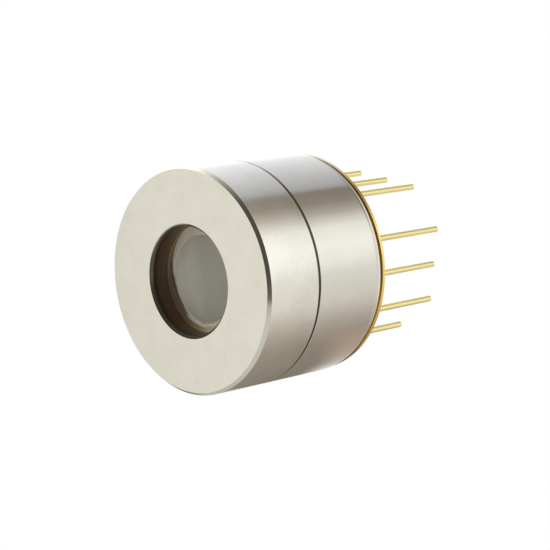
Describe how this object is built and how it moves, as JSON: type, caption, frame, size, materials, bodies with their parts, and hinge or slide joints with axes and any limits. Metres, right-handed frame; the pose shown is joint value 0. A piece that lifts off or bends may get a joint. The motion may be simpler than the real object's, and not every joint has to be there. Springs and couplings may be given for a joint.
{
  "type": "infrared detector",
  "caption": "Cooled infrared detector in a round nickel-plated metal can with a recessed flat window, a gold header flange and straight gold leads behind it.",
  "frame": {"origin": "centre of the header's seating face, the flat gold face that the leads come out of", "axes": "+Z out of the window along the optical axis, leads along -Z, X and Y along the rows of the square of leads"},
  "size_m": [0.0153, 0.0152, 0.0188],
  "materials": {
    "nickel_cap": "satin nickel plate, fine turned face",
    "nickel_sleeve": "satin nickel plate",
    "gold_header": "gold plate",
    "gold_lead": "gold plate, drawn wire",
    "infrared_window": "polished, coated, opaque to the eye",
    "window_bond": "cured bond",
    "seam_filler": "dark filled seam",
    "braze": "dark braze",
    "seal_glass": "fused sealing glass",
    "solder": "solder",
    "alumina": "ground alumina",
    "copper": "copper",
    "pellet": "sawn thermoelectric alloy",
    "submount": "polished ceramic",
    "chip": "polished semiconductor",
    "thermistor": "dark ceramic",
    "gold_wire": "fine gold wire"
  },
  "bodies": {
    "root": {"front_cap": "nickel_cap", "rear_sleeve": "nickel_sleeve", "header_base": "gold_header", "window": "infrared_window", "window_seal": "window_bond", "seam_bond": "seam_filler", "braze_ring": "braze", "lead_1": "gold_lead", "lead_2": "gold_lead", "lead_3": "gold_lead", "lead_4": "gold_lead", "lead_5": "gold_lead", "lead_6": "gold_lead", "lead_7": "gold_lead", "lead_8": "gold_lead", "lead_9": "gold_lead", "lead_10": "gold_lead", "lead_11": "gold_lead", "lead_12": "gold_lead", "glass_seal_1": "seal_glass", "glass_seal_2": "seal_glass", "glass_seal_3": "seal_glass", "glass_seal_4": "seal_glass", "glass_seal_5": "seal_glass", "glass_seal_6": "seal_glass", "glass_seal_7": "seal_glass", "glass_seal_8": "seal_glass", "glass_seal_9": "seal_glass", "glass_seal_10": "seal_glass", "glass_seal_11": "seal_glass", "glass_seal_12": "seal_glass", "cooler_solder": "solder", "cooler_hot_plate": "alumina", "lower_stage_bottom_tabs": "copper", "lower_stage_pellets": "pellet", "lower_stage_top_tabs": "copper", "cooler_middle_plate": "alumina", "upper_stage_bottom_tabs": "copper", "upper_stage_pellets": "pellet", "upper_stage_top_tabs": "copper", "cooler_cold_plate": "alumina", "cooler_lead_positive": "copper", "cooler_lead_negative": "copper", "chip_submount": "submount", "sensor_chip": "chip", "thermistor": "thermistor", "anode_wire": "gold_wire", "cathode_wire": "gold_wire", "thermistor_wire_a": "gold_wire", "thermistor_wire_b": "gold_wire"}
  },
  "joints": []
}
